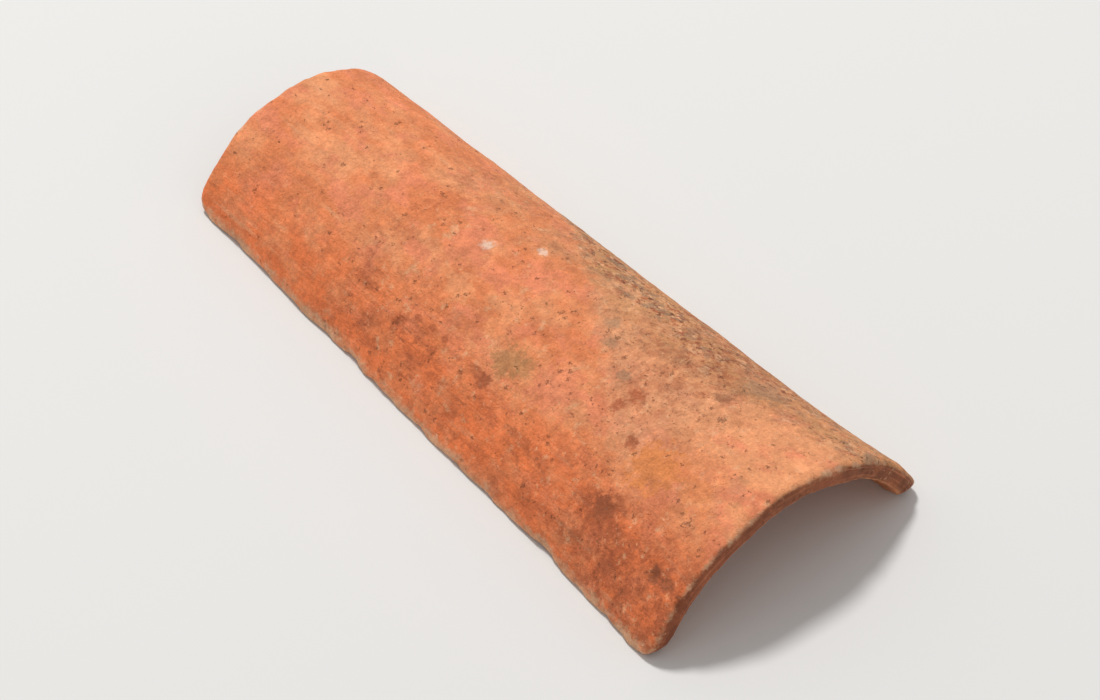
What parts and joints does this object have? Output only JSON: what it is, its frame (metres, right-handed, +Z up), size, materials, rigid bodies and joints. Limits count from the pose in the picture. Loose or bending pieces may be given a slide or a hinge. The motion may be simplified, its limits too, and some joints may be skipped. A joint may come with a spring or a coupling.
{
  "type": "clay barrel roof tile",
  "caption": "Tapered half-barrel clay roof tile with a flared nose, rounded corners and flat feet, for covering the joints between channel tiles.",
  "frame": {"origin": "on the floor under the middle of the tile, crown up, resting on its two long feet", "axes": "+X across the barrel, +Y along the barrel from the wide nose to the narrow head, +Z up through the crown"},
  "size_m": [0.1988, 0.44, 0.0702],
  "materials": {
    "fired_clay": "matt porous unglazed terracotta, weathered"
  },
  "bodies": {
    "root": {"barrel_tile": "fired_clay"}
  },
  "joints": []
}
